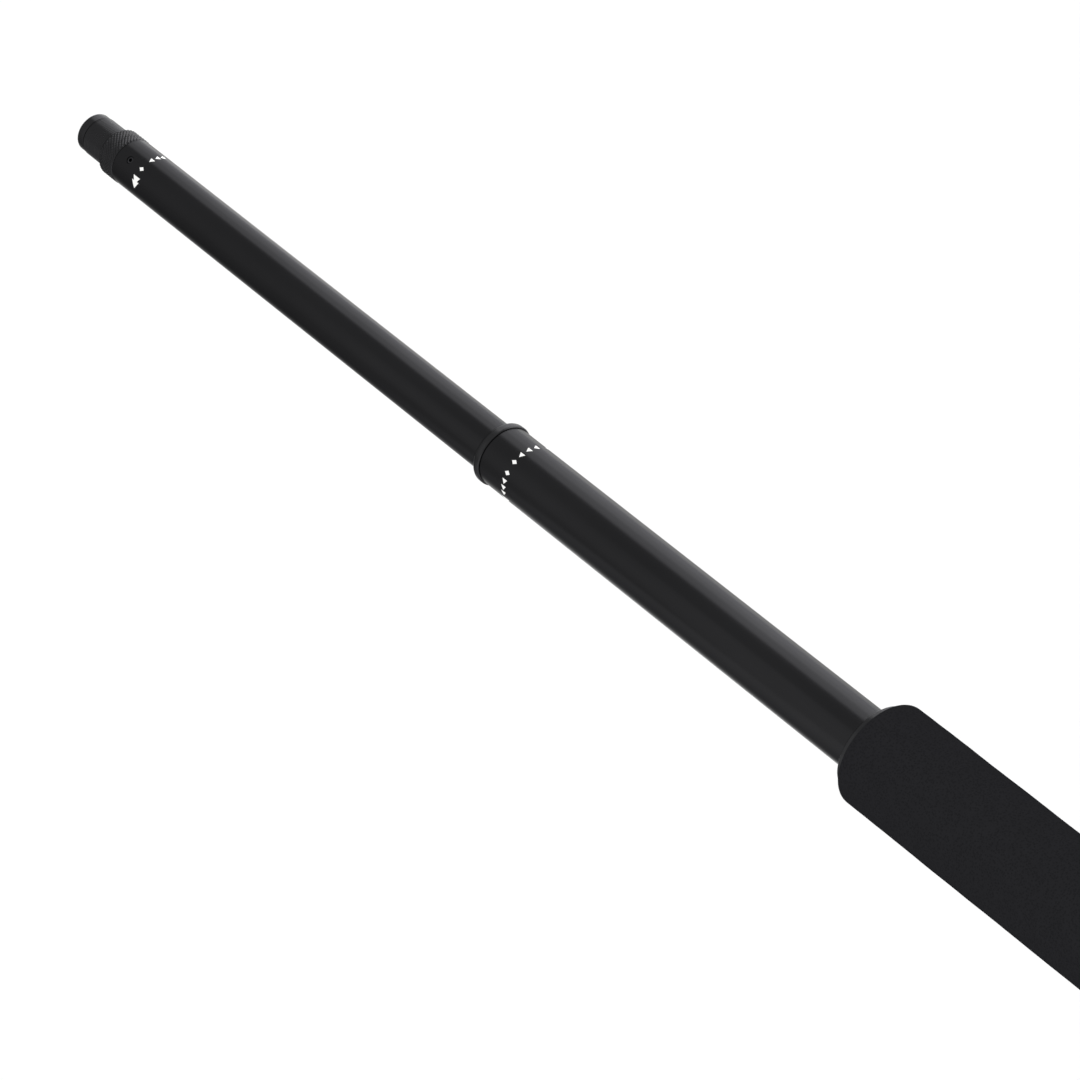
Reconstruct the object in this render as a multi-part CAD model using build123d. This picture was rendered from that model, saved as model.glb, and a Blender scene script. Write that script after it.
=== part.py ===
from build123d import *
import os

# Three-section boom pole with internal twist locks.
# Millimetres. The pole lies along X with its tip towards +X and +Z up.
# Origin: centre of the flat butt face.

# ---- driving dimensions ------------------------------------------------------------

# diameters grow outwards from the thread at the tip, tube by tube
thread_od = 15.875  # 5/8 in, 27 threads per inch
tube_shoulder = 1.4625  # the tip tube's face round the thread, which the lock ring bears on
nesting_gap = 0.85  # radial, between a tube and the bore round it
base_wall = 1.0
middle_wall = 1.0
tip_wall = 1.0
base_length = 781.0  # butt face to the front face of the base section's bush
middle_length = 708.0
tip_length = 650.0

# how far each inner section stands out at rest
middle_shown = 188.8
tip_shown = 220.0

# clearances and small breaks
running_gap = 0.1  # radial, between pieces that slide or turn on each other
thread_gap = 0.05  # radial, between a plain thread core and its nut
end_gap = 0.1  # axial, between faces that turn past each other
mouth_chamfer = 0.25
edge_break = 0.3

# butt end and grip
cap_wall = 3.9  # rubber over the base tube
cap_length = 14.0
cap_edge = 3.0
cap_floor = 4.0
plug_lip = 1.9  # the plug's flange, beyond the base tube
plug_flange = 4.0
butt_plug_depth = 20.0
butt_plug_bore = 12.0
plug_pin_od = 3.0
plug_pin_back = 10.0  # behind the plug's front face
bumper_thickness = 4.0
bumper_hole = 8.0
foam_thickness = 5.9
grip_edge = 3.0
rear_ring_height = 4.4  # over the base tube
rear_ring_width = 3.0

# guide bushes in the tube mouths
collar_height = 2.9  # over the base tube
collar_width = 2.0
bush_depth = 30.0
middle_ring_height = 0.65  # over the middle tube
middle_ring_width = 3.4
middle_ring_nose = 1.1
guide_length = 30.0

# microphone end
thread_length = 21.55  # from the tube's mouth to the insert's flange
spigot_depth = 20.0
spigot_wall = 2.2  # round the insert, under the thread
insert_flange_step = 0.19  # radial, below the thread's crests
thread_break = 0.6  # groove ahead of the parked lock ring
thread_break_depth = 0.4
insert_flange = 3.85
insert_edge = 0.6
insert_depth = 13.0
insert_bore = 7.94  # core of the 3/8 in, 16 threads per inch, inner thread
coin_slot_width = 1.6
coin_slot_depth = 1.2
coin_slot_rim = 1.2  # the flange's rim stays whole
grub_od = 3.0
grub_back = 7.1  # behind the tube's mouth
grub_depth = 3.0  # from the tube's skin to the floor of the hole
grub_length = 2.8
grub_turn = -36.0  # degrees about the pole, from straight up
grub_socket = 1.5
grub_socket_depth = 1.4
lock_ring_step = 0.1975  # radial, beyond the tip tube
lock_ring_width = 8.4
lock_ring_edge = 0.35
washer_inset = 0.4025  # radial, inside the tip tube's skin
washer_thickness = 0.8

# twist locks
plug_depth = 18.0
lock_flange = 3.0
stud_in_plug = 12.0
thrust_washer = 1.0
expander_length = 20.0
expander_front_wall = 3.0
expander_rear_wall = 1.8
expander_slots = 4
slot_width = 1.8
slot_length = 15.0
groove_count = 3
groove_width = 1.0
groove_depth = 0.4
groove_pitch = 3.0
cone_length = 12.0
cone_stands_out = 1.0
cone_gap = 0.1
key_width = 1.2
key_length = 6.0
key_below_wall = 0.5
nut_gap = 1.6
throat_wall = 2.4  # round the stud, where the expander's taper ends
middle_stud_od = 8.0
middle_nut_flats = 13.0
middle_nut_height = 4.0
tip_stud_od = 6.0
tip_nut_flats = 10.0
tip_nut_height = 3.2

# ---- places that follow ------------------------------------------------------------

tip_od = thread_od + 2 * tube_shoulder
tip_bore = tip_od - 2 * tip_wall
middle_bore = tip_od + 2 * nesting_gap
middle_od = middle_bore + 2 * middle_wall
base_bore = middle_od + 2 * nesting_gap
base_od = base_bore + 2 * base_wall

cap_od = base_od + 2 * cap_wall
plug_flange_od = base_od + 2 * plug_lip
grip_od = base_od + 2 * foam_thickness
rear_ring_od = base_od + 2 * rear_ring_height
collar_od = base_od + 2 * collar_height
middle_ring_od = middle_od + 2 * middle_ring_height
spigot_bore = thread_od - 2 * spigot_wall
insert_flange_od = thread_od - 2 * insert_flange_step
lock_ring_od = tip_od + 2 * lock_ring_step
washer_od = tip_od - 2 * washer_inset

base_mouth = base_length - collar_width
middle_mouth = base_length + middle_shown
middle_rear = middle_mouth - middle_length
tip_mouth = middle_mouth + middle_ring_width + tip_shown
tip_rear = tip_mouth - tip_length
spigot_front = tip_mouth + thread_length

parts = {}


# ---- turned shapes -----------------------------------------------------------------

def station(x):
    """The plane across the pole at x."""
    return Plane(origin=(x, 0, 0), x_dir=(0, 1, 0), z_dir=(1, 0, 0))


def rod(diameter, start, end):
    return extrude(station(start) * Circle(diameter / 2), amount=end - start)


def sleeve(outer, inner, start, end):
    return extrude(station(start) * (Circle(outer / 2) - Circle(inner / 2)), amount=end - start)


def taper(start_diameter, end_diameter, start, end):
    """A solid cone frustum along X."""
    outline = Polyline(
        (start, 0), (start, start_diameter / 2), (end, end_diameter / 2), (end, 0), close=True
    )
    return revolve(make_face(outline), axis=Axis.X)


def rims(part, x, diameter):
    """The circular edges of one diameter at station x."""
    def wanted(edge):
        return abs(edge.arc_center.X - x) < 1e-4 and abs(edge.radius - diameter / 2) < 1e-4
    return part.edges().filter_by(GeomType.CIRCLE).filter_by(wanted)


def radial(shape, angle):
    """Turns a shape about the pole's axis."""
    return Rot(angle, 0, 0) * shape


# ---- base section ------------------------------------------------------------------

def make_base_tube():
    tube = sleeve(base_od, base_bore, cap_floor + plug_flange, base_mouth)
    centre = (cap_floor + plug_flange + butt_plug_depth - plug_pin_back, 0, 0)
    return tube - Location(centre) * Cylinder(plug_pin_od / 2, base_od + 2)


def make_butt_plug():
    flange_end = cap_floor + plug_flange
    plug = rod(plug_flange_od, cap_floor, flange_end)
    plug += rod(base_bore, flange_end, flange_end + butt_plug_depth)
    plug -= rod(butt_plug_bore, flange_end, flange_end + butt_plug_depth)
    centre = (flange_end + butt_plug_depth - plug_pin_back, 0, 0)
    return plug - Location(centre) * Cylinder(plug_pin_od / 2, base_od + 2)


def make_plug_pin():
    centre = (cap_floor + plug_flange + butt_plug_depth - plug_pin_back, 0, 0)
    return Location(centre) * Cylinder(plug_pin_od / 2, base_bore + base_wall)


def make_butt_cap():
    """A rubber cup over the plug's flange and the end of the tube."""
    cap = rod(cap_od, 0, cap_length)
    cap = fillet(rims(cap, 0, cap_od), cap_edge)
    cap = chamfer(rims(cap, cap_length, cap_od), edge_break)
    cap -= rod(plug_flange_od, cap_floor, cap_floor + plug_flange)
    return cap - rod(base_od, cap_floor + plug_flange, cap_length)


def make_end_bumper():
    start = cap_floor + plug_flange + butt_plug_depth
    return sleeve(base_bore - 2 * running_gap, bumper_hole, start, start + bumper_thickness)


def make_grip_rear_ring():
    front = cap_length + rear_ring_width
    ring = sleeve(rear_ring_od, base_od, cap_length, front)
    outer_rims = rims(ring, cap_length, rear_ring_od) + rims(ring, front, rear_ring_od)
    return chamfer(outer_rims, edge_break)


def make_foam_grip():
    start = cap_length + rear_ring_width
    foam = rod(grip_od, start, base_mouth)
    foam = fillet(rims(foam, start, grip_od) + rims(foam, base_mouth, grip_od), grip_edge)
    return foam - rod(base_od, start, base_mouth)


def make_base_front_bush():
    flange = rod(collar_od, base_mouth, base_length)
    flange = chamfer(rims(flange, base_length, collar_od), edge_break)
    bush = flange + rod(base_bore, base_mouth - bush_depth, base_mouth)
    bush -= rod(middle_od + 2 * running_gap, base_mouth - bush_depth, base_length)
    return chamfer(rims(bush, base_length, middle_od + 2 * running_gap), edge_break / 2)


# ---- what both sliding sections share ----------------------------------------------

def make_tube(outer, bore, rear, mouth):
    tube = sleeve(outer, bore, rear, mouth)
    return chamfer(rims(tube, mouth, outer), mouth_chamfer)


def make_lock_plug(outer, bore, rear, stud_od):
    """The plug in a tube's rear end, which carries the stud."""
    plug = rod(outer, rear - lock_flange, rear) + rod(bore, rear, rear + plug_depth)
    return plug - rod(stud_od, rear - lock_flange, rear + stud_in_plug)


def make_rear_guide(outer_bore, outer, rear):
    """The nylon sleeve round a tube's rear end, which centres it in the next tube."""
    guide_od = outer_bore - 2 * running_gap
    guide = sleeve(guide_od, outer, rear, rear + guide_length)
    return chamfer(rims(guide, rear + guide_length, guide_od), edge_break)


def make_expander(outer_bore, rear, stud_od):
    """The slotted sleeve that the cone presses against the next tube's wall."""
    front = rear - lock_flange - thrust_washer - end_gap
    back = front - expander_length
    expander_od = outer_bore - 2 * running_gap
    mouth = expander_od - 2 * expander_rear_wall
    throat = stud_od + 2 * throat_wall
    expander = rod(expander_od, back, front)
    expander -= taper(mouth, throat, back, front - expander_front_wall)
    expander -= rod(stud_od + 2 * running_gap, back, front)
    for number in range(groove_count):
        middle = front - expander_front_wall - groove_pitch * (number + 1)
        start = middle - groove_width / 2
        floor = expander_od - 2 * groove_depth
        expander -= sleeve(expander_od + 1, floor, start, start + groove_width)
    slot = Location((back + slot_length / 2, 0, outer_bore / 4 + stud_od / 4)) * Box(
        slot_length, slot_width, (outer_bore - stud_od) / 2
    )
    for number in range(expander_slots):
        expander -= radial(slot, 360 / expander_slots * number)
    return expander


def cone_ends(rear):
    """Rear and front station of a cone at rest."""
    back = rear - lock_flange - thrust_washer - end_gap - expander_length - cone_stands_out
    return back, back + cone_length


def cone_diameters(outer_bore, stud_od):
    """The expander's taper, less the gap, at the cone's two ends."""
    throat = stud_od + 2 * throat_wall
    mouth = outer_bore - 2 * running_gap - 2 * expander_rear_wall
    slope = (mouth - throat) / (expander_length - expander_front_wall)
    rear_diameter = mouth + slope * cone_stands_out - 2 * cone_gap
    return rear_diameter, rear_diameter - slope * cone_length


def key_box(outer_bore, rear, stud_od):
    """The key's block: from the stud's clearance out to just below the expander's skin."""
    back, front = cone_ends(rear)
    low = stud_od / 2 + 1.0
    high = outer_bore / 2 - running_gap - key_below_wall
    middle = (front - cone_stands_out - key_length / 2, 0, (low + high) / 2)
    return Location(middle) * Box(key_length, key_width, high - low)


def make_cone(outer_bore, rear, stud_od):
    back, front = cone_ends(rear)
    rear_diameter, front_diameter = cone_diameters(outer_bore, stud_od)
    cone = taper(rear_diameter, front_diameter, back, front)
    cone -= rod(stud_od + 2 * thread_gap, back, front)
    return cone - key_box(outer_bore, rear, stud_od)


def make_stud(rear, stud_od, nut_height):
    back = cone_ends(rear)[0] - nut_gap - nut_height
    stud = rod(stud_od, back, rear + stud_in_plug)
    return chamfer(rims(stud, back, stud_od), edge_break)


def make_thrust_washer(outer_bore, rear, stud_od):
    front = rear - lock_flange
    return sleeve(outer_bore - 4 * running_gap, stud_od, front - thrust_washer, front)


def make_end_nut(rear, stud_od, flats, height):
    front = cone_ends(rear)[0] - nut_gap
    hexagon = RegularPolygon(flats / 2, 6, major_radius=False) - Circle(stud_od / 2)
    return extrude(station(front - height) * hexagon, amount=height)


def add_lock(name, outer, bore, outer_bore, rear, stud_od, flats, height):
    """The guide and the twist lock at a sliding section's rear end."""
    parts[name + "_rear_guide"] = make_rear_guide(outer_bore, outer, rear)
    parts[name + "_lock_plug"] = make_lock_plug(outer, bore, rear, stud_od)
    parts[name + "_stud"] = make_stud(rear, stud_od, height)
    parts[name + "_thrust_washer"] = make_thrust_washer(outer_bore, rear, stud_od)
    parts[name + "_expander"] = make_expander(outer_bore, rear, stud_od)
    parts[name + "_cone"] = make_cone(outer_bore, rear, stud_od)
    parts[name + "_cone_key"] = key_box(outer_bore, rear, stud_od)
    parts[name + "_end_nut"] = make_end_nut(rear, stud_od, flats, height)


# ---- middle section's mouth --------------------------------------------------------

def make_middle_front_bush():
    """The bush that guides the tip tube; its rounded ring shows ahead of the middle tube."""
    front = middle_mouth + middle_ring_width
    ring = rod(middle_ring_od, middle_mouth, front)
    ring = fillet(rims(ring, front, middle_ring_od), middle_ring_nose)
    ring = chamfer(rims(ring, middle_mouth, middle_ring_od), mouth_chamfer)
    bush = ring + rod(middle_bore, middle_mouth - bush_depth, middle_mouth)
    return bush - rod(tip_od + 2 * running_gap, middle_mouth - bush_depth, front)


# ---- microphone end ----------------------------------------------------------------

grub_angles = (grub_turn, grub_turn + 180)
grub_floor = Location((tip_mouth - grub_back, 0, tip_od / 2 - grub_depth))


def grub_screw_hole(angle):
    """A radial bore through the tube wall into the spigot."""
    hole = grub_floor * extrude(Circle(grub_od / 2), amount=grub_depth + 1)
    return radial(hole, angle)


def make_grub_screw(angle):
    screw = extrude(Circle(grub_od / 2), amount=grub_length)
    hexagon = RegularPolygon(grub_socket / 2, 6, major_radius=False)
    socket = Location((0, 0, grub_length - grub_socket_depth)) * extrude(hexagon, amount=grub_length)
    return radial(grub_floor * (screw - socket), angle)


def make_tip_tube():
    tube = make_tube(tip_od, tip_bore, tip_rear, tip_mouth)
    for angle in grub_angles:
        tube -= grub_screw_hole(angle)
    return tube


def make_mic_spigot():
    """The threaded end: a plug in the tube, and a male thread ahead of it."""
    spigot = rod(tip_bore, tip_mouth - spigot_depth, tip_mouth)
    spigot += rod(thread_od, tip_mouth, spigot_front)
    spigot -= rod(spigot_bore, spigot_front - insert_depth, spigot_front)
    parked = tip_mouth + lock_ring_width
    floor = thread_od - 2 * thread_break_depth
    spigot -= sleeve(thread_od + 1, floor, parked, parked + thread_break)
    for angle in grub_angles:
        spigot -= grub_screw_hole(angle)
    return spigot


def make_thread_insert():
    """The flanged insert in the spigot's front, with the smaller inner thread."""
    front = spigot_front + insert_flange
    flange = rod(insert_flange_od, spigot_front, front)
    flange = fillet(rims(flange, front, insert_flange_od), insert_edge)
    insert = flange + rod(spigot_bore, spigot_front - insert_depth, spigot_front)
    insert -= rod(insert_bore, spigot_front - insert_depth, front)
    slot = Location((front - coin_slot_depth / 2, 0, 0)) * Box(
        coin_slot_depth, insert_flange_od - 2 * coin_slot_rim, coin_slot_width
    )
    return insert - slot


def make_lock_ring():
    """The knurled jam ring, with a recess in its rear face for its washer."""
    back = tip_mouth + end_gap
    front = tip_mouth + lock_ring_width
    ring = rod(lock_ring_od, back, front)
    outer_rims = rims(ring, back, lock_ring_od) + rims(ring, front, lock_ring_od)
    ring = chamfer(outer_rims, lock_ring_edge)
    ring -= rod(thread_od + 2 * running_gap, back, front)
    recess = washer_thickness + end_gap
    return ring - rod(washer_od + 2 * running_gap, back, back + recess)


def make_lock_ring_washer():
    back = tip_mouth + end_gap
    return sleeve(washer_od, thread_od + 2 * running_gap, back, back + washer_thickness)


# ---- the assembly ------------------------------------------------------------------

parts["base_tube"] = make_base_tube()
parts["base_front_bush"] = make_base_front_bush()
parts["foam_grip"] = make_foam_grip()
parts["grip_rear_ring"] = make_grip_rear_ring()
parts["butt_plug"] = make_butt_plug()
parts["plug_pin"] = make_plug_pin()
parts["butt_cap"] = make_butt_cap()
parts["end_bumper"] = make_end_bumper()

parts["middle_tube"] = make_tube(middle_od, middle_bore, middle_rear, middle_mouth)
add_lock(
    "middle", middle_od, middle_bore, base_bore, middle_rear,
    middle_stud_od, middle_nut_flats, middle_nut_height,
)
parts["middle_front_bush"] = make_middle_front_bush()

add_lock(
    "tip", tip_od, tip_bore, middle_bore, tip_rear,
    tip_stud_od, tip_nut_flats, tip_nut_height,
)
parts["tip_tube"] = make_tip_tube()
parts["mic_spigot"] = make_mic_spigot()
parts["thread_insert"] = make_thread_insert()
parts["grub_screws"] = Compound(children=[make_grub_screw(angle) for angle in grub_angles])
parts["lock_ring"] = make_lock_ring()
parts["lock_ring_washer"] = make_lock_ring_washer()

os.makedirs("parts", exist_ok=True)
for name, shape in parts.items():
    export_step(shape, "parts/" + name + ".step")
    print(name, round(shape.volume, 1), "mm3")
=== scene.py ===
"""Looks for a three-section boom pole with twist locks.

The pole lies along X with its microphone end towards +X and its butt face at the origin.
Everything is in metres, in the frame's own axes. MM turns a size in millimetres to metres.
"""

import math

import bmesh
import bpy
from bpy.props import FloatProperty, FloatVectorProperty, IntProperty, PointerProperty
from mathutils import Matrix, Vector, noise


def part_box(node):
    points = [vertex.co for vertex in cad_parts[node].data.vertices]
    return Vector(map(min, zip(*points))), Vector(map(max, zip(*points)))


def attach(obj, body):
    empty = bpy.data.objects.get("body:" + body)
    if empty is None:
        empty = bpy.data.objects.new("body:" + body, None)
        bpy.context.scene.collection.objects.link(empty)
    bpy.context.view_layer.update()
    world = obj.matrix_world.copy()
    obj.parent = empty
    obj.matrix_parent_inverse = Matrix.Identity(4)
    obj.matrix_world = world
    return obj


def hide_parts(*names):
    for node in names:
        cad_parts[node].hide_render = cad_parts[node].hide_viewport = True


bl_info = {
    "name": "Boom Pole",
    "version": (1, 0, 0),
    "blender": (4, 5, 0),
    "location": "View3D > Sidebar > Boom Pole",
    "description": "Tubes, foam grip, locks and microphone thread of a boom pole, and its stage",
    "category": "Object",
}

MM = 0.001
INCH = 25.4 * MM
AROUND = 128  # columns in a turned piece
SMOOTH_BELOW = math.radians(32)  # edges that turn more than this stay crisp
WELD = 0.002 * MM  # vertices closer than this are one
INK = 0.02 * MM  # how far printing stands on a tube
ROOT_FLAT = 0.1  # share of a thread's pitch that its flat root takes
CLEARANCE = 0.1 * MM  # radial, between a piece and what it slides or turns in
THREAD_CREST = INCH * 5 / 16  # radius of the 5/8 in outer thread
SPIGOT_WALL = 2.2 * MM  # outer thread's crest to the insert's seat
INNER_CREST = 3.97 * MM  # radius of the 3/8 in inner thread's crests
THREAD_COLUMNS = 96  # columns in a threaded piece
KNURL_STEPS = 8  # rows, and columns, in one diamond of the knurl
DYED_EDGE = "B8B8B8"  # what the black dye leaves of a reflection at a glancing angle
PLAIN_EDGE = "FFFFFF"

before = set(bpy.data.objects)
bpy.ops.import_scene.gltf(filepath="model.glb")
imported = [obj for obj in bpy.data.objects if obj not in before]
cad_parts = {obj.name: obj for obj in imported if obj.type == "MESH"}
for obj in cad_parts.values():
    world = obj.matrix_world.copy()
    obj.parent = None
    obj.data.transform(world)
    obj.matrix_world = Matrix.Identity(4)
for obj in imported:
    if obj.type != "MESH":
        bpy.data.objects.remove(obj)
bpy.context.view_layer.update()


def linear(code):
    """A six-digit sRGB hex colour as linear red, green and blue."""
    shares = [int(code[i : i + 2], 16) / 255 for i in (0, 2, 4)]
    return tuple(s / 12.92 if s <= 0.04045 else ((s + 0.055) / 1.055) ** 2.4 for s in shares)


# ---- what a user can change ---------------------------------------------------------


def length(name, description, default):
    return FloatProperty(name=name, description=description, default=default, unit="LENGTH", precision=5)


def colour(name, description, code):
    return FloatVectorProperty(
        name=name, description=description, default=linear(code), subtype="COLOR", min=0, max=1
    )


class PoleSizes(bpy.types.PropertyGroup):
    edge: length("Turned edge", "Rounding of a turned edge", 0.12 * MM)
    grip_edge: length("Grip edge", "Rounding at both ends of the foam grip", 3 * MM)
    grip_swell: length("Grip unevenness", "How far the foam's skin wanders in and out", 0.11 * MM)
    cap_edge: length("End cap edge", "Rounding of the rubber cap's end", 3 * MM)
    nose_edge: length("Nose ring edge", "Rounding at the front of the middle section's ring", 1.5 * MM)
    insert_edge: length("Insert edge", "Rounding at the front of the microphone insert", 0.6 * MM)
    outer_pitch: length("Outer thread pitch", "5/8 in, 27 threads per inch", INCH / 27)
    inner_pitch: length("Inner thread pitch", "3/8 in, 16 threads per inch", INCH / 16)
    outer_depth: length("Outer thread depth", "Crest to root, radially", 0.2 * MM)
    outer_flat: FloatProperty(name="Outer crest", description="Share of the pitch that is flat", default=0.72)
    inner_depth: length("Inner thread depth", "Crest to root, radially", 0.79 * MM)
    knurl_pitch: length("Knurl pitch", "One diamond to the next, along the pole", 1.6 * MM)
    knurl_depth: length("Knurl depth", "Diamond tip to groove", 0.3 * MM)
    knurl_steepness: FloatProperty(
        name="Knurl steepness", description="1 for pointed diamonds, more for flat tops", default=2.2, min=1
    )
    knurl_count: IntProperty(name="Knurl count", description="Diamonds round the ring", default=40, min=12)


class PoleColours(bpy.types.PropertyGroup):
    tube: colour("Tubes", "Black anodised aluminium tube", "212122")
    turned: colour("Turned pieces", "Black anodised turned aluminium", "282829")
    foam: colour("Foam", "Black closed-cell foam", "202022")
    rubber: colour("Rubber", "Black moulded rubber", "1C1C1D")
    ink: colour("Printing", "White printing ink", "F4F4F2")
    bright: colour("Bare aluminium", "Plain machined aluminium", "C9CACC")
    nylon: colour("Natural nylon", "Natural nylon, moulded", "DEDACB")
    black_nylon: colour("Black nylon", "Black nylon, moulded", "29292A")
    steel: colour("Steel", "Zinc-plated steel", "B9BBBE")
    black_steel: colour("Black steel", "Black oxide steel", "2C2C2E")
    brass: colour("Brass", "Turned brass", "D8B66A")


class PoleStage(bpy.types.PropertyGroup):
    floor: colour("Floor", "Plain pale floor", "F6F6F6")
    floor_drop: length("Floor below the pole", "The pole is shown held up in the air", 0.6)
    surround: FloatProperty(name="Surround", description="Brightness of the white studio", default=1.1)
    key_light: FloatProperty(name="Key softbox", description="Radiance of the tall softbox", default=2.8)
    low_light: FloatProperty(name="Low softbox", description="Radiance of the low softbox", default=2.4)
    rim_light: FloatProperty(name="Rim softbox", description="Radiance of the narrow softbox", default=3.0)
    side_light: FloatProperty(name="Side softbox", description="Radiance of the side softbox", default=0.45)
    bounce: FloatProperty(name="Bounce board", description="Radiance of the low board", default=0.8)
    azimuth: FloatProperty(
        name="Camera azimuth", description="0 looks along +Y", default=math.radians(230.87), subtype="ANGLE"
    )
    elevation: FloatProperty(
        name="Camera elevation", description="Above the horizon", default=math.radians(40.74), subtype="ANGLE"
    )
    distance: length("Camera distance", "From the point it looks at", 1.497)
    lens: FloatProperty(name="Lens", description="Focal length in millimetres", default=145.0)


# ---- materials ----------------------------------------------------------------------


def add(tree, kind, inputs=None, **settings):
    """Adds a node with its settings. An input is a value, or a socket to link from."""
    node = tree.nodes.new(kind)
    for name, value in settings.items():
        setattr(node, name, value)
    for name, value in (inputs or {}).items():
        if isinstance(value, bpy.types.NodeSocket):
            tree.links.new(value, node.inputs[name])
        else:
            node.inputs[name].default_value = value
    return node


def new_material(name):
    material = bpy.data.materials.new(name)
    material.use_nodes = True
    material.node_tree.nodes.clear()
    return material, material.node_tree


def rgba(three):
    return (*three, 1.0)


def scaled(three, factor):
    return (*(min(1.0, channel * factor) for channel in three), 1.0)


def stretched(tree, along, across):
    """Object coordinates in pattern units: one unit is `along` metres in X and `across` in Y and Z."""
    place = add(tree, "ShaderNodeTexCoord")
    scale = (1 / along, 1 / across, 1 / across)
    inputs = {"Vector": place.outputs["Object"], "Scale": scale}
    return add(tree, "ShaderNodeMapping", inputs).outputs["Vector"]


def anodised_tube(name, tint, roughness):
    """Drawn aluminium tube, etched and anodised black.

    The drawing die leaves faint lines along the tube and the etch makes them satin, so the eye
    gets a long soft highlight with a slight grain along it. The dye takes a little unevenly.
    """
    material, tree = new_material(name)
    # die lines are about 0.1 mm apart; drawn at 0.7 mm, or they would be too fine to show
    lines = add(tree, "ShaderNodeTexNoise", {
        "Vector": stretched(tree, 60 * MM, 0.7 * MM), "Scale": 1.0, "Detail": 3.0, "Roughness": 0.55,
    })
    etch = add(tree, "ShaderNodeTexNoise", {
        "Vector": stretched(tree, 0.9 * MM, 0.9 * MM), "Scale": 1.0, "Detail": 2.0,
    })
    dye = add(tree, "ShaderNodeTexNoise", {
        "Vector": stretched(tree, 45 * MM, 14 * MM), "Scale": 1.0, "Detail": 2.0,
    })
    shade = add(tree, "ShaderNodeMix", {
        "Factor": dye.outputs["Fac"], "A": scaled(tint, 0.9), "B": scaled(tint, 1.12),
    }, data_type="RGBA")
    satin = add(tree, "ShaderNodeMapRange", {
        "Value": lines.outputs["Fac"], "From Min": 0.3, "From Max": 0.7,
        "To Min": roughness - 0.025, "To Max": roughness + 0.025,
    })
    grain = add(tree, "ShaderNodeBump", {
        "Height": lines.outputs["Fac"], "Strength": 0.25, "Distance": 0.012 * MM,
    })
    tooth = add(tree, "ShaderNodeBump", {
        "Height": etch.outputs["Fac"], "Normal": grain.outputs["Normal"],
        "Strength": 0.25, "Distance": 0.01 * MM,
    })
    surface = add(tree, "ShaderNodeBsdfPrincipled", {
        "Base Color": shade.outputs["Result"], "Metallic": 1.0, "Roughness": satin.outputs["Result"],
        "Specular Tint": rgba(linear(DYED_EDGE)), "Normal": tooth.outputs["Normal"],
    })
    add(tree, "ShaderNodeOutputMaterial", {"Surface": surface.outputs["BSDF"]})
    return material


def turned_metal(name, tint, roughness, pitch, edge_tint):
    """Turned metal: the tool leaves rings a fraction of a millimetre apart.

    The rings draw the highlight out round the piece, and the cut is a little rougher in places.
    """
    material, tree = new_material(name)
    # at this scale the bands are about two pitches apart
    rings = add(tree, "ShaderNodeTexWave", {
        "Vector": stretched(tree, pitch, 40 * MM), "Scale": 0.16,
        "Distortion": 0.6, "Detail": 2.0, "Detail Scale": 2.0,
    }, wave_type="BANDS", bands_direction="X")
    patches = add(tree, "ShaderNodeTexNoise", {
        "Vector": stretched(tree, 3 * MM, 3 * MM), "Scale": 1.0, "Detail": 3.0,
    })
    shade = add(tree, "ShaderNodeMix", {
        "Factor": patches.outputs["Fac"], "A": scaled(tint, 0.9), "B": scaled(tint, 1.12),
    }, data_type="RGBA")
    satin = add(tree, "ShaderNodeMapRange", {
        "Value": patches.outputs["Fac"], "From Min": 0.3, "From Max": 0.7,
        "To Min": roughness - 0.04, "To Max": roughness + 0.04,
    })
    cut = add(tree, "ShaderNodeBump", {
        "Height": rings.outputs["Fac"], "Strength": 0.15, "Distance": 0.012 * MM,
    })
    surface = add(tree, "ShaderNodeBsdfPrincipled", {
        "Base Color": shade.outputs["Result"], "Metallic": 1.0, "Roughness": satin.outputs["Result"],
        "Specular Tint": rgba(linear(edge_tint)), "Normal": cut.outputs["Normal"],
    })
    add(tree, "ShaderNodeOutputMaterial", {"Surface": surface.outputs["BSDF"]})
    return material


def cellular_foam(name, tint):
    """Closed-cell rubber foam with a ground skin: cut cells a few tenths of a millimetre across.

    No highlight at all; the cut cells read as a fine dark pepper over a soft charcoal: each cell is painted
    darker towards its sunken middle, as painted shade.
    """
    material, tree = new_material(name)
    # real cells are about 0.3 mm; drawn at 0.8 mm, or they would be too fine to show
    cells = add(tree, "ShaderNodeTexVoronoi", {
        "Vector": stretched(tree, 0.8 * MM, 0.8 * MM), "Scale": 1.0, "Randomness": 1.0,
    })
    mottle = add(tree, "ShaderNodeTexNoise", {
        "Vector": stretched(tree, 6 * MM, 6 * MM), "Scale": 1.0, "Detail": 4.0,
    })
    # distance from a cell's middle: the bump's height, and how much painted shade is taken off the colour
    # there
    pit = add(tree, "ShaderNodeMapRange", {
        "Value": cells.outputs["Distance"], "From Min": 0.0, "From Max": 0.55,
        "To Min": 0.0, "To Max": 1.0,
    })
    # a low mottle that varies how strong the painted shade in the cells is
    pit_shade_mottle = add(tree, "ShaderNodeMapRange", {
        "Value": mottle.outputs["Fac"], "From Min": 0.3, "From Max": 0.7, "To Min": 0.46, "To Max": 0.58,
    })
    depth = add(tree, "ShaderNodeMath", {0: pit.outputs["Result"], 1: pit_shade_mottle.outputs["Result"]},
                operation="MULTIPLY")
    # painted shade: the deeper into a cell's hollow, the darker its colour
    shade = add(tree, "ShaderNodeMix", {
        "Factor": depth.outputs["Value"], "A": scaled(tint, 0.76), "B": scaled(tint, 1.5),
    }, data_type="RGBA")
    pores = add(tree, "ShaderNodeBump", {
        "Height": pit.outputs["Result"], "Strength": 0.7, "Distance": 0.09 * MM,
    })
    surface = add(tree, "ShaderNodeBsdfPrincipled", {
        "Base Color": shade.outputs["Result"], "Roughness": 1.0, "IOR": 1.5, "Specular IOR Level": 0.0,
        "Normal": pores.outputs["Normal"],
    })
    add(tree, "ShaderNodeOutputMaterial", {"Surface": surface.outputs["BSDF"]})
    return material


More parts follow.
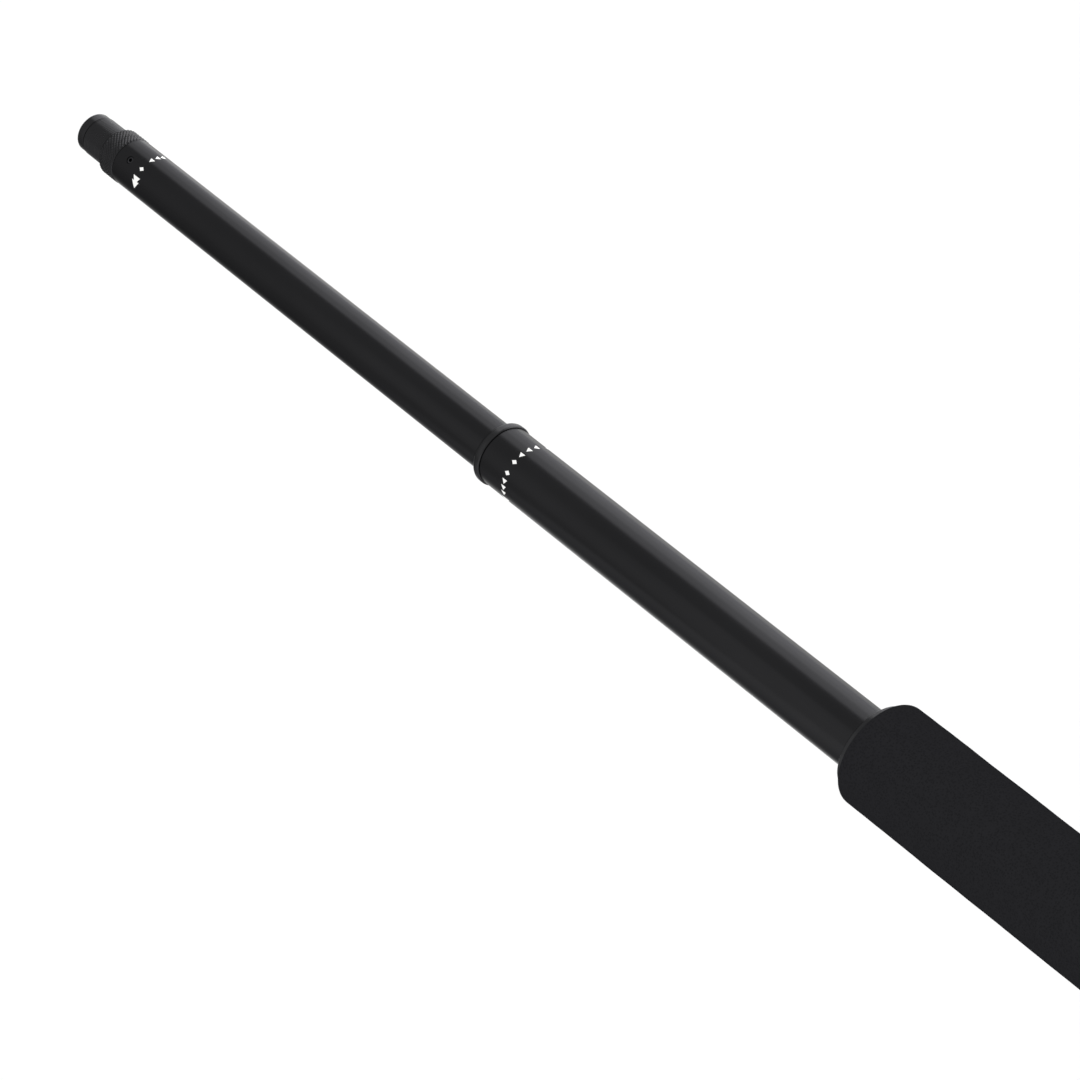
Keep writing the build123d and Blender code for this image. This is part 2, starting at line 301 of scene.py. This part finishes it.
def moulded_rubber(name, tint, grain, roughness, ior):
    """Moulded rubber or plastic: the mould's fine spark-eroded texture, slightly uneven in sheen.

    The texture holds back part of the reflection, so black rubber stays black under a white sky.
    """
    material, tree = new_material(name)
    texture = add(tree, "ShaderNodeTexNoise", {
        "Vector": stretched(tree, grain, grain), "Scale": 1.0, "Detail": 4.0, "Roughness": 0.6,
    })
    flow = add(tree, "ShaderNodeTexNoise", {
        "Vector": stretched(tree, 8 * MM, 8 * MM), "Scale": 1.0, "Detail": 2.0,
    })
    shade = add(tree, "ShaderNodeMix", {
        "Factor": flow.outputs["Fac"], "A": scaled(tint, 0.9), "B": scaled(tint, 1.12),
    }, data_type="RGBA")
    satin = add(tree, "ShaderNodeMapRange", {
        "Value": flow.outputs["Fac"], "From Min": 0.3, "From Max": 0.7,
        "To Min": roughness - 0.06, "To Max": roughness + 0.06,
    })
    skin = add(tree, "ShaderNodeBump", {
        "Height": texture.outputs["Fac"], "Strength": 0.35, "Distance": 0.03 * MM,
    })
    surface = add(tree, "ShaderNodeBsdfPrincipled", {
        "Base Color": shade.outputs["Result"], "Roughness": satin.outputs["Result"], "IOR": ior,
        "Specular IOR Level": 0.22, "Normal": skin.outputs["Normal"],
    })
    add(tree, "ShaderNodeOutputMaterial", {"Surface": surface.outputs["BSDF"]})
    return material


def printed_ink(name, tint):
    """Pad-printed two-part ink: flat opaque white with a low gloss and a slightly uneven film."""
    material, tree = new_material(name)
    film = add(tree, "ShaderNodeTexNoise", {
        "Vector": stretched(tree, 0.6 * MM, 0.6 * MM), "Scale": 1.0, "Detail": 2.0,
    })
    shade = add(tree, "ShaderNodeMix", {
        "Factor": film.outputs["Fac"], "A": scaled(tint, 0.94), "B": scaled(tint, 1.04),
    }, data_type="RGBA")
    surface = add(tree, "ShaderNodeBsdfPrincipled", {
        "Base Color": shade.outputs["Result"], "Roughness": 0.5, "IOR": 1.5,
    })
    add(tree, "ShaderNodeOutputMaterial", {"Surface": surface.outputs["BSDF"]})
    return material


def make_finishes(colours):
    """One material for each slot of the record, and the ink."""
    # metal: name, colour, roughness, the tool's pitch, what is left of a glancing reflection
    # moulded: name, colour, the mould's grain, roughness, refractive index
    return {
        "tube_aluminium": anodised_tube("Drawn aluminium, black anodised", colours.tube, 0.24),
        "machined_aluminium": turned_metal(
            "Turned aluminium, black anodised", colours.turned, 0.26, 0.35 * MM, DYED_EDGE
        ),
        "bare_aluminium": turned_metal(
            "Turned aluminium, bare", colours.bright, 0.28, 0.3 * MM, PLAIN_EDGE
        ),
        "grip_foam": cellular_foam("Closed-cell foam, ground", colours.foam),
        "black_rubber": moulded_rubber("Rubber, moulded", colours.rubber, 0.5 * MM, 0.7, 1.52),
        "nylon": moulded_rubber("Nylon, natural, moulded", colours.nylon, 0.4 * MM, 0.45, 1.53),
        "black_nylon": moulded_rubber("Nylon, black, moulded", colours.black_nylon, 0.4 * MM, 0.45, 1.53),
        "steel": turned_metal("Steel, zinc plated", colours.steel, 0.3, 0.3 * MM, PLAIN_EDGE),
        "black_steel": turned_metal("Steel, black oxide", colours.black_steel, 0.42, 0.3 * MM, PLAIN_EDGE),
        "brass": turned_metal("Brass, turned", colours.brass, 0.25, 0.3 * MM, PLAIN_EDGE),
        "ink": printed_ink("Ink, pad printed", colours.ink),
    }


finishes = {}  # by slot; the first operator fills it


# ---- shapes -------------------------------------------------------------------------


def rounded(corners, steps=6):
    """A closed outline of (station, radius) points from corners (station, radius, rounding)."""
    outline = []
    for number, (x, r, rounding) in enumerate(corners):
        here = Vector((x, r))
        if not rounding:
            outline.append((x, r))
            continue
        back = (Vector(corners[number - 1][:2]) - here).normalized()
        ahead = (Vector(corners[(number + 1) % len(corners)][:2]) - here).normalized()
        half = back.angle(ahead) / 2
        centre = here + (back + ahead).normalized() * rounding / math.sin(half)
        start = here + back * rounding / math.tan(half) - centre
        end = here + ahead * rounding / math.tan(half) - centre
        sweep = start.angle_signed(end)
        for step in range(steps + 1):
            turned = start.copy()
            turned.rotate(Matrix.Rotation(-sweep * step / steps, 2))
            outline.append(tuple(centre + turned))
    return outline


def divided(outline, longest):
    """The same closed outline, with no stretch longer than `longest`."""
    points = []
    for here, ahead in zip(outline, outline[1:] + outline[:1]):
        count = max(1, math.ceil((Vector(ahead) - Vector(here)).length / longest))
        points += [tuple(Vector(here).lerp(Vector(ahead), step / count)) for step in range(count)]
    return points


def turned(outline_at, around=AROUND):
    """A closed surface about X. outline_at(share of a turn) is that column's closed outline."""
    mesh = bmesh.new()
    columns = []
    for number in range(around + 1):
        share = number / around
        angle = math.tau * share
        outline = outline_at(share)
        column = [mesh.verts.new((x, r * math.cos(angle), r * math.sin(angle))) for x, r in outline]
        columns.append(column)
    for column, following in zip(columns, columns[1:]):
        for k in range(len(column)):
            mesh.faces.new((column[k - 1], column[k], following[k], following[k - 1]))
    bmesh.ops.remove_doubles(mesh, verts=mesh.verts, dist=WELD)
    bmesh.ops.recalc_face_normals(mesh, faces=mesh.faces)
    return mesh


def lathe(outline, around=AROUND):
    return turned(lambda share: outline, around)


def zigzag(share):
    """1 on whole numbers and 0 halfway between them, in straight lines."""
    return abs(2 * (share % 1.0) - 1)


def threaded(share, start, end, pitch, crest, root, flat=0.15, steps=10):
    """Stations and radii along one column of a right-handed thread, from start to end.

    `flat` is the share of the pitch that the flat crest takes, and a pitch has `steps` rows.
    Rows keep to the helix, and those beyond either end are drawn in to it.
    """
    points = []
    rows = math.ceil((end - start) / pitch * steps) + steps
    for row in range(-steps, rows + 1):
        x = min(max(start + (share + row / steps) * pitch, start), end)
        rise = (zigzag((x - start) / pitch - share) - ROOT_FLAT) / (1 - ROOT_FLAT - flat)
        height = min(1.0, max(0.0, rise))
        points.append((x, root + (crest - root) * height))
    return points


def piece_from(mesh, name, finish, body, stands_for=()):
    """A finished piece: smooth with crisp corners, riding on its body."""
    data = bpy.data.meshes.new(name)
    mesh.to_mesh(data)
    mesh.free()
    data.shade_smooth()
    data.set_sharp_from_angle(angle=SMOOTH_BELOW)
    data.materials.append(finish)
    piece = bpy.data.objects.new(name, data)
    bpy.context.scene.collection.objects.link(piece)
    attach(piece, body)
    if stands_for:
        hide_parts(*stands_for)
    return piece


def cut_away(piece, cutter_mesh):
    """Cuts the cutter's shape out of the piece and leaves a plain mesh."""
    data = bpy.data.meshes.new("cutter")
    cutter_mesh.to_mesh(data)
    cutter_mesh.free()
    cutter = bpy.data.objects.new("cutter", data)
    bpy.context.scene.collection.objects.link(cutter)
    cut = piece.modifiers.new("cut", "BOOLEAN")
    cut.operation = "DIFFERENCE"
    cut.solver = "EXACT"
    cut.object = cutter
    depsgraph = bpy.context.evaluated_depsgraph_get()
    made = bpy.data.meshes.new_from_object(piece.evaluated_get(depsgraph))
    piece.modifiers.clear()
    piece.data = made
    made.set_sharp_from_angle(angle=SMOOTH_BELOW)
    bpy.data.objects.remove(cutter)


def span(node):
    """First and last station of a CAD node."""
    low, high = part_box(node)
    return low.x, high.x


def radius_of(node):
    """Outer radius of a turned CAD node."""
    low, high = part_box(node)
    return (high.y - low.y) / 2


def screw_facing():
    """The way the upper set screw faces, from +Z towards +Y. The printing is centred on it too."""
    upper = [v.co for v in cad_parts["grub_screws"].data.vertices if v.co.y + v.co.z > 0]
    middle = sum(upper, Vector())
    return math.atan2(middle.y, middle.z)


def across_pole(mesh, station, angle, height):
    """Moves a shape made along X so that it points out of the pole at `angle` from +Z towards +Y."""
    upright = Matrix.Rotation(-math.pi / 2, 4, "Y")
    lifted = Matrix.Translation((0, 0, height))
    around = Matrix.Rotation(-angle, 4, "X")
    placed = Matrix.Translation((station, 0, 0)) @ around @ lifted @ upright
    bmesh.ops.transform(mesh, matrix=placed, verts=mesh.verts)
    return mesh


# ---- printing -----------------------------------------------------------------------
# Each mark is a list of flat convex outlines in millimetres: a along the print, b towards the tip.


def arrowhead():
    return [[(-1.0, 0), (0.85, -1.2), (0.85, 1.2)]]


def double_arrowhead():
    """An arrowhead with a second one behind it, which the first one's base cuts short."""
    neck = 0.84  # half the second one's width where the first one's base cuts it
    first = [(-1.7, 0), (1.4, -2.0), (1.4, -neck), (1.4, neck), (1.4, 2.0)]
    second = [(1.4, -neck), (3.2, -2.0), (3.2, 2.0), (1.4, neck)]
    return [first, second]


def diamond():
    return [[(-0.9, 0), (0, -1.25), (0.9, 0), (0, 1.25)]]


def wrapped(marks, radius, station, facing):
    """Marks wrapped round a tube: each is (degrees from `facing`, flat outlines)."""
    mesh = bmesh.new()
    for turn, outlines in marks:
        for outline in outlines:
            offset = -math.radians(turn) * radius
            points = [mesh.verts.new((offset + a * MM, b * MM, 0)) for a, b in outline]
            mesh.faces.new(points)
    bmesh.ops.remove_doubles(mesh, verts=mesh.verts, dist=WELD)
    step = 0.4 * MM  # one facet round the tube
    reach = max(abs(v.co.x) for v in mesh.verts)
    for number in range(-math.ceil(reach / step), math.ceil(reach / step)):
        everything = mesh.verts[:] + mesh.edges[:] + mesh.faces[:]
        bmesh.ops.bisect_plane(
            mesh, geom=everything, plane_co=(number * step, 0, 0), plane_no=(1, 0, 0), dist=WELD
        )
    top = mesh.faces[:]
    lower = bmesh.ops.extrude_face_region(mesh, geom=top)["geom"]
    for vertex in [v for v in lower if isinstance(v, bmesh.types.BMVert)]:
        vertex.co.z = INK
    for vertex in mesh.verts:
        angle = facing - vertex.co.x / radius
        out = radius + (INK if vertex.co.z > 0 else -INK)
        vertex.co = (station + vertex.co.y, out * math.sin(angle), out * math.cos(angle))
    bmesh.ops.recalc_face_normals(mesh, faces=mesh.faces)
    return mesh


# ---- one operator for each piece ----------------------------------------------------


class BOOM_OT_finishes(bpy.types.Operator):
    """Makes the materials and gives them to the CAD nodes"""

    bl_idname = "boom_pole.finishes"
    bl_label = "Finishes"

    def execute(self, context):
        finishes.update(make_finishes(context.scene.pole_colours))
        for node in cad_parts.values():
            for holder in node.material_slots:
                slot, *_ = holder.material.name.split(".")
                holder.material = finishes[slot]
        return {"FINISHED"}


class BOOM_OT_grip(bpy.types.Operator):
    """Builds the foam grip, its end ring and the rubber end cap"""

    bl_idname = "boom_pole.grip"
    bl_label = "Grip and End Cap"

    def execute(self, context):
        sizes = context.scene.pole_sizes
        tube = radius_of("base_tube")
        self.make_foam(sizes, tube)
        self.make_end_ring(sizes, tube)
        self.make_end_cap(sizes, tube)
        return {"FINISHED"}

    def make_foam(self, sizes, tube):
        start, end = span("foam_grip")
        outer = radius_of("foam_grip")
        edge = sizes.grip_edge
        row = 2.2 * MM  # longest stretch between rows of vertices
        glued = tube + 0.5 * MM  # inside this radius the foam stays round
        broad, fine = 17 * MM, 5 * MM  # spacing of the skin's rises; the fine ones are lower
        sunk = 0.8  # in swells; keeps nearly all of the skin inside the CAD's outline
        outline = rounded([(start, tube, 0), (start, outer, edge), (end, outer, edge), (end, tube, 0)], 8)
        mesh = lathe(divided(outline, row))
        for vertex in mesh.verts:
            out = Vector((0, vertex.co.y, vertex.co.z))
            if out.length < glued:
                continue
            wander = noise.noise(vertex.co / broad) + 0.45 * noise.noise(vertex.co / fine)
            vertex.co += out.normalized() * sizes.grip_swell * (wander - sunk)
        foam = piece_from(mesh, "grip_sleeve", finishes["grip_foam"], "base", ["foam_grip"])

    def make_end_ring(self, sizes, tube):
        start, end = span("grip_rear_ring")
        outer = radius_of("grip_rear_ring")
        edge = 2 * sizes.edge
        mesh = lathe(rounded([(start, tube, 0), (start, outer, edge), (end, outer, edge), (end, tube, 0)]))
        piece_from(
            mesh, "grip_end_ring", finishes["machined_aluminium"], "base",
            ["grip_rear_ring"],
        )

    def make_end_cap(self, sizes, tube):
        start, end = span("butt_cap")
        plug_face, _ = span("butt_plug")
        tube_end, _ = span("base_tube")
        outer = radius_of("butt_cap")
        flange = radius_of("butt_plug")
        groove = outer - 0.35 * MM  # the grooves' radius at the bottom
        top, bottom = 0.4 * MM, 0.25 * MM  # half a groove's width
        corners = [(start, 0, 0), (start, outer, sizes.cap_edge)]
        for middle in (end - 5.6 * MM, end - 3.8 * MM, end - 2.0 * MM):
            corners += [
                (middle - top, outer, sizes.edge), (middle - bottom, groove, sizes.edge / 2),
                (middle + bottom, groove, sizes.edge / 2), (middle + top, outer, sizes.edge),
            ]
        corners += [
            (end, outer, 3 * sizes.edge), (end, tube, 0), (tube_end, tube, 0), (tube_end, flange, 0),
            (plug_face, flange, 0), (plug_face, 0, 0),
        ]
        mesh = lathe(rounded(corners))
        piece_from(mesh, "rubber_end_cap", finishes["black_rubber"], "base", ["butt_cap"])


class BOOM_OT_collar(bpy.types.Operator):
    """Builds the collar at the front of the grip, with its guide bush inside the base tube"""

    bl_idname = "boom_pole.collar"
    bl_label = "Front Collar"

    def execute(self, context):
        sizes = context.scene.pole_sizes
        back, front = span("base_front_bush")
        _, mouth = span("base_tube")
        outer = radius_of("base_front_bush")
        guide = radius_of("middle_rear_guide")
        bore = radius_of("middle_tube") + CLEARANCE
        bevel = 0.3 * MM
        corners = [
            (back, bore, 0), (back, guide, 0), (mouth, guide, 0), (mouth, outer, sizes.edge),
            (front - bevel, outer, sizes.edge), (front, outer - bevel, sizes.edge),
            (front, bore, sizes.edge),
        ]
        piece_from(
            lathe(rounded(corners)), "front_collar", finishes["machined_aluminium"], "base",
            ["base_front_bush"],
        )
        return {"FINISHED"}


class BOOM_OT_middle_section(bpy.types.Operator):
    """Builds the middle tube and the rounded ring in its mouth"""

    bl_idname = "boom_pole.middle_section"
    bl_label = "Middle Section"

    def execute(self, context):
        sizes = context.scene.pole_sizes
        rear, mouth = span("middle_tube")
        outer = radius_of("middle_tube")
        guide = radius_of("tip_rear_guide")
        bore = guide + CLEARANCE
        bevel = 0.1 * MM
        tube = rounded([
            (rear, bore, 0), (rear, outer, sizes.edge), (mouth - bevel, outer, sizes.edge),
            (mouth, outer - bevel, sizes.edge / 2), (mouth, bore, 0),
        ])
        piece_from(
            lathe(tube), "middle_section_tube", finishes["tube_aluminium"], "middle",
            ["middle_tube"],
        )
        back, front = span("middle_front_bush")
        ring_outer = radius_of("middle_front_bush")
        tip_bore = radius_of("tip_tube") + CLEARANCE
        step = ring_outer - outer
        # the ring's back rises from the tube in two slopes, the first one steeper
        ring = rounded([
            (back, tip_bore, 0), (back, bore, 0), (mouth, bore, 0), (mouth, outer - bevel, 0),
            (mouth + bevel, outer + 0.4 * step, sizes.edge / 2), (mouth + 4 * bevel, ring_outer, sizes.edge),
            (front, ring_outer, sizes.nose_edge),
            (front, tip_bore, sizes.edge / 2),
        ])
        piece_from(
            lathe(ring), "nose_ring", finishes["machined_aluminium"], "middle",
            ["middle_front_bush"],
        )
        return {"FINISHED"}


class BOOM_OT_tip_section(bpy.types.Operator):
    """Builds the tip tube, the threaded spigot in it and the two set screws that hold it"""

    bl_idname = "boom_pole.tip_section"
    bl_label = "Tip Section"

    screw_radius = 1.5 * MM
    screw_length = 2.8 * MM
    hole_depth = 3.0 * MM
    socket = 0.75 * MM  # half the hexagon across its flats
    socket_depth = 1.3 * MM
    screw_columns = 48
    hole_columns = 32

    def execute(self, context):
        sizes = context.scene.pole_sizes
        pieces = [self.make_tube(sizes), self.make_spigot(sizes)]
        self.station = sum(span("grub_screws")) / 2
        self.facing = screw_facing()
        self.floor = radius_of("tip_tube") - self.hole_depth
        for angle in (self.facing, self.facing + math.pi):
            for piece in pieces:
                cut_away(piece, self.hole(angle))
        self.make_screws()
        return {"FINISHED"}

    def make_tube(self, sizes):
        rear, mouth = span("tip_tube")
        outer = radius_of("tip_tube")
        bore = radius_of("mic_spigot")
        bevel = 0.25 * MM
        behind_holes = mouth - 12 * MM  # a row here keeps the long faces clear of the screw holes
        tube = rounded([
            (rear, bore, 0), (rear, outer, sizes.edge), (behind_holes, outer, 0),
            (mouth - bevel, outer, sizes.edge), (mouth, outer - bevel, sizes.edge), (mouth, bore, 0),
        ])
        return piece_from(
            lathe(tube), "tip_section_tube", finishes["tube_aluminium"], "tip",
            ["tip_tube"],
        )

    def make_spigot(self, sizes):
        rear, front = span("mic_spigot")
        seat, _ = span("thread_insert")
        _, mouth = span("tip_tube")
        plug = radius_of("mic_spigot")
        insert = THREAD_CREST - SPIGOT_WALL
        root = THREAD_CREST - sizes.outer_depth
        relief = THREAD_CREST - 4 * sizes.outer_depth  # the turned groove behind the insert's flange
        last = front - 0.55 * MM  # where the thread ends and the groove begins
        chamfer = 0.3 * MM

        def outline(share):
            thread = threaded(share, mouth, last, sizes.outer_pitch, THREAD_CREST, root, sizes.outer_flat)
            return [
                (rear, 0), (rear, plug - chamfer), (rear + chamfer, plug), (mouth - CLEARANCE, plug),
                *thread, (last, relief), (front, relief), (front, insert), (seat, insert), (seat, 0),
            ]

        return piece_from(
            turned(outline, THREAD_COLUMNS), "mic_thread_spigot", finishes["machined_aluminium"], "tip",
            ["mic_spigot"],
        )

    def hole(self, angle):
        length = radius_of("tip_tube") + 1 * MM - self.floor
        drill = [(0, 0), (0, self.screw_radius), (length, self.screw_radius), (length, 0)]
        return across_pole(lathe(drill, self.hole_columns), self.station, angle, self.floor)

    def make_screws(self):
        """Cup-point set screws with a hexagon socket, a little below the tube's skin."""
        top = self.screw_length
        side = self.screw_radius - 0.04 * MM
        cup = 0.3 * MM  # depth of the cup point
        lip = self.screw_radius - cup
        chamfer = 0.25 * MM
        socket_floor = top - self.socket_depth

        def outline(share):
            from_flat = (share * 6) % 1.0 - 0.5
            hexagon = self.socket / math.cos(from_flat * math.pi / 3)
            return [
                (cup, 0), (0, lip), (cup, side), (top - chamfer, side), (top, lip),
                (top, hexagon + 0.08 * MM), (top - 0.1 * MM, hexagon), (socket_floor, hexagon),
                (socket_floor - 0.2 * MM, 0),
            ]

        both = bmesh.new()
        for angle in (self.facing, self.facing + math.pi):
            screw = across_pole(turned(outline, self.screw_columns), self.station, angle, self.floor)
            data = bpy.data.meshes.new("one_screw")
            screw.to_mesh(data)
            screw.free()
            both.from_mesh(data)
            bpy.data.meshes.remove(data)
        piece_from(both, "set_screws", finishes["black_steel"], "tip", ["grub_screws"])


class BOOM_OT_insert(bpy.types.Operator):
    """Builds the flanged insert at the tip, with the smaller thread inside it and a coin slot"""

    bl_idname = "boom_pole.insert"
    bl_label = "Thread Insert"

    def execute(self, context):
        sizes = context.scene.pole_sizes
        rear, front = span("thread_insert")
        _, seat = span("mic_spigot")
        flange = radius_of("thread_insert")
        core = THREAD_CREST - SPIGOT_WALL
        root = INNER_CREST + sizes.inner_depth
        mouth = front - 0.9 * MM  # where the thread ends and flares out to the end face
        chamfer = 0.2 * MM
        shell = rounded([
            (rear, core - chamfer, 0), (rear + chamfer, core, 0), (seat, core, 0),
            (seat, flange, sizes.edge), (front, flange, sizes.insert_edge),
            (front, root + 0.1 * MM, sizes.edge), (mouth, INNER_CREST, 0),
        ])

        def outline(share):
            thread = threaded(share, rear, mouth, sizes.inner_pitch, INNER_CREST, root)
            return shell[:-1] + thread[::-1]

        insert = piece_from(
            turned(outline, THREAD_COLUMNS), "mic_thread_insert", finishes["machined_aluminium"], "tip",
            ["thread_insert"],
        )
        width, depth = 1.6 * MM, 1.2 * MM  # the coin slot
        reach = flange - 1.2 * MM  # the flange's rim stays whole
        slot = bmesh.new()
        bmesh.ops.create_cube(slot, size=1.0)
        bmesh.ops.scale(slot, vec=(2 * depth, 2 * reach, width), verts=slot.verts)
        bmesh.ops.translate(slot, vec=(front, 0, 0), verts=slot.verts)
        cut_away(insert, slot)
        return {"FINISHED"}


class BOOM_OT_lock_ring(bpy.types.Operator):
    """Builds the knurled ring that locks a microphone mount on the thread"""

    bl_idname = "boom_pole.lock_ring"
    bl_label = "Lock Ring"

    def execute(self, context):
        sizes = context.scene.pole_sizes
        back, front = span("lock_ring")
        outer = radius_of("lock_ring")
        washer_front = span("lock_ring_washer")[1] + CLEARANCE
        washer = radius_of("lock_ring_washer") + CLEARANCE
        bore = THREAD_CREST + CLEARANCE
        bevel = 0.35 * MM
        chamfer = 0.2 * MM
        knurled_width = front - back - 2 * bevel
        rows = KNURL_STEPS * round(knurled_width / sizes.knurl_pitch)

        def outline(share):
            knurled = []
            for row in range(rows + 1):
                x = back + bevel + knurled_width * row / rows
                along = (x - back) / sizes.knurl_pitch
                around = share * sizes.knurl_count
                # the second set of grooves is cut a little shallower than the first
                groove = min(zigzag(along - around), 0.2 + 0.8 * zigzag(along + around))
                height = min(1.0, sizes.knurl_steepness * groove)
                knurled.append((x, outer - sizes.knurl_depth * (1 - height)))
            return [
                (washer_front, bore), (washer_front, washer), (back, washer), (back, outer - bevel),
                *knurled, (front, outer - bevel), (front, bore + chamfer), (front - chamfer, bore),
            ]

        piece_from(
            turned(outline, KNURL_STEPS * sizes.knurl_count), "knurled_lock_ring",
            finishes["machined_aluminium"], "lock_ring", ["lock_ring"],
        )
        return {"FINISHED"}


class BOOM_OT_printing(bpy.types.Operator):
    """Prints the turn-to-lock signs on the two sliding tubes"""

    bl_idname = "boom_pole.printing"
    bl_label = "Printing"

    def execute(self, context):
        facing = screw_facing()
        start, small, stop = double_arrowhead(), arrowhead(), diamond()
        on_tip = [(40, start), (0, stop), (-30, small), (-47, small), (-62, small)]
        on_middle = [
            (94, start), (64, small), (51, small), (38, small), (21, stop), (-2, stop), (-19, small),
            (-36, small), (-53, small),
        ]
        # body, marks (degrees round the tube from the set screw), distance from the tube's mouth
        for body, half_turn, from_mouth in (("tip", on_tip, 14.6 * MM), ("middle", on_middle, 13.3 * MM)):
            tube = body + "_tube"
            marks = half_turn + [(turn + 180, mark) for turn, mark in half_turn]
            mesh = wrapped(marks, radius_of(tube), span(tube)[1] - from_mouth, facing)
            piece_from(mesh, body + "_printing", finishes["ink"], body)
        return {"FINISHED"}


class BOOM_OT_stage(bpy.types.Operator):
    """Sets the floor, the studio light and the camera"""

    bl_idname = "boom_pole.stage"
    bl_label = "Stage"

    def execute(self, context):
        stage = context.scene.pole_stage
        _, collar_front = span("base_front_bush")
        middle = Vector((collar_front + 0.162, 0.006, -0.017))  # what the camera looks at
        self.make_floor(stage)
        self.make_surround(stage)
        for softbox in (
            # name, degrees up, distance, how far ahead, width and height, radiance
            ("key_softbox", 30, -1.55, 1.2, (2.6, 2.9), stage.key_light),
            ("low_softbox", 12, -0.7, 0.5, (2.6, 0.9), stage.low_light),
            ("rim_softbox", 9, -0.7, 0.5, (2.6, 0.4), stage.rim_light),
            ("side_softbox", 22, 1.6, 0.9, (0.8, 2.0), stage.side_light),
            ("bounce_board", -68, 0.4, -0.9, (2.6, 1.6), stage.bounce),
        ):
            self.make_softbox(middle, *softbox)
        self.make_camera(stage, middle)
        context.scene.view_settings.view_transform = "Standard"
        return {"FINISHED"}

    def make_floor(self, stage):
        material, tree = new_material("Painted board")
        unevenness = add(tree, "ShaderNodeTexNoise", {
            "Vector": stretched(tree, 0.8, 0.8), "Scale": 1.0, "Detail": 2.0,
        })
        shade = add(tree, "ShaderNodeMix", {
            "Factor": unevenness.outputs["Fac"],
            "A": scaled(stage.floor, 0.99), "B": scaled(stage.floor, 1.01),
        }, data_type="RGBA")
        surface = add(tree, "ShaderNodeBsdfPrincipled", {
            "Base Color": shade.outputs["Result"], "Roughness": 0.9, "Specular IOR Level": 0.1,
        })
        add(tree, "ShaderNodeOutputMaterial", {"Surface": surface.outputs["BSDF"]})
        half = 30.0  # half the floor's side
        data = bpy.data.meshes.new("floor")
        corners = [(-half, -half, 0), (half, -half, 0), (half, half, 0), (-half, half, 0)]
        data.from_pydata(corners, [], [(0, 1, 2, 3)])
        data.materials.append(material)
        floor = bpy.data.objects.new("floor", data)
        floor.location.z = -stage.floor_drop
        bpy.context.scene.collection.objects.link(floor)

    def make_surround(self, stage):
        world = bpy.data.worlds.new("Studio")
        bpy.context.scene.world = world
        world.use_nodes = True
        tree = world.node_tree
        tree.nodes.clear()
        white = add(tree, "ShaderNodeBackground", {"Color": (1, 1, 1, 1), "Strength": stage.surround})
        add(tree, "ShaderNodeOutputWorld", {"Surface": white.outputs["Background"]})

    def make_softbox(self, target, name, elevation, distance, ahead, size, radiance):
        """A softbox beside the pole and parallel to it, on the -Y side if the distance is negative.

        It gives the gloss; the white studio round the pole gives the even light.
        """
        width, height = size
        lamp = bpy.data.lights.new(name, "AREA")
        lamp.shape = "RECTANGLE"
        lamp.size = width
        lamp.size_y = height
        lamp.energy = radiance * math.pi * width * height
        softbox = bpy.data.objects.new(name, lamp)
        bpy.context.scene.collection.objects.link(softbox)
        rise = math.radians(elevation)
        out = Vector((0, math.copysign(math.cos(rise), distance), math.sin(rise)))
        softbox.location = target + out * abs(distance) + Vector((ahead, 0, 0))
        softbox.rotation_mode = "QUATERNION"
        softbox.rotation_quaternion = out.to_track_quat("Z", "Y")
        softbox.visible_camera = False
        softbox.visible_diffuse = False

    def make_camera(self, stage, target):
        lens = bpy.data.cameras.new("camera")
        lens.lens = stage.lens
        lens.sensor_width = 36.0
        lens.clip_start = 0.05
        camera = bpy.data.objects.new("camera", lens)
        bpy.context.scene.collection.objects.link(camera)
        azimuth, elevation = stage.azimuth, stage.elevation
        back = Vector((
            math.sin(azimuth) * math.cos(elevation),
            -math.cos(azimuth) * math.cos(elevation),
            math.sin(elevation),
        ))
        camera.location = target + back * stage.distance
        camera.rotation_mode = "QUATERNION"
        camera.rotation_quaternion = (-back).to_track_quat("-Z", "Y")
        bpy.context.scene.camera = camera


class BOOM_PT_panel(bpy.types.Panel):
    """Shows every setting, and a button for each operator"""

    bl_idname = "BOOM_PT_panel"
    bl_label = "Boom Pole"
    bl_space_type = "VIEW_3D"
    bl_region_type = "UI"
    bl_category = "Boom Pole"

    def draw(self, context):
        for group in (context.scene.pole_sizes, context.scene.pole_colours, context.scene.pole_stage):
            column = self.layout.column()
            for name in group.bl_rna.properties.keys():
                if name not in ("rna_type", "name"):
                    column.prop(group, name)
        for operator in OPERATORS:
            self.layout.operator(operator.bl_idname)


GROUPS = {"pole_sizes": PoleSizes, "pole_colours": PoleColours, "pole_stage": PoleStage}
OPERATORS = (
    BOOM_OT_finishes, BOOM_OT_grip, BOOM_OT_collar, BOOM_OT_middle_section, BOOM_OT_tip_section,
    BOOM_OT_insert, BOOM_OT_lock_ring, BOOM_OT_printing, BOOM_OT_stage,
)


def register():
    for kind in (*GROUPS.values(), *OPERATORS, BOOM_PT_panel):
        bpy.utils.register_class(kind)
    for name, group in GROUPS.items():
        setattr(bpy.types.Scene, name, PointerProperty(type=group))


def unregister():
    for name in GROUPS:
        delattr(bpy.types.Scene, name)
    for kind in (BOOM_PT_panel, *reversed(OPERATORS), *GROUPS.values()):
        bpy.utils.unregister_class(kind)


def main():
    register()
    for operator in OPERATORS:
        group, name = operator.bl_idname.split(".")
        getattr(getattr(bpy.ops, group), name)()


if __name__ == "__main__":
    main()
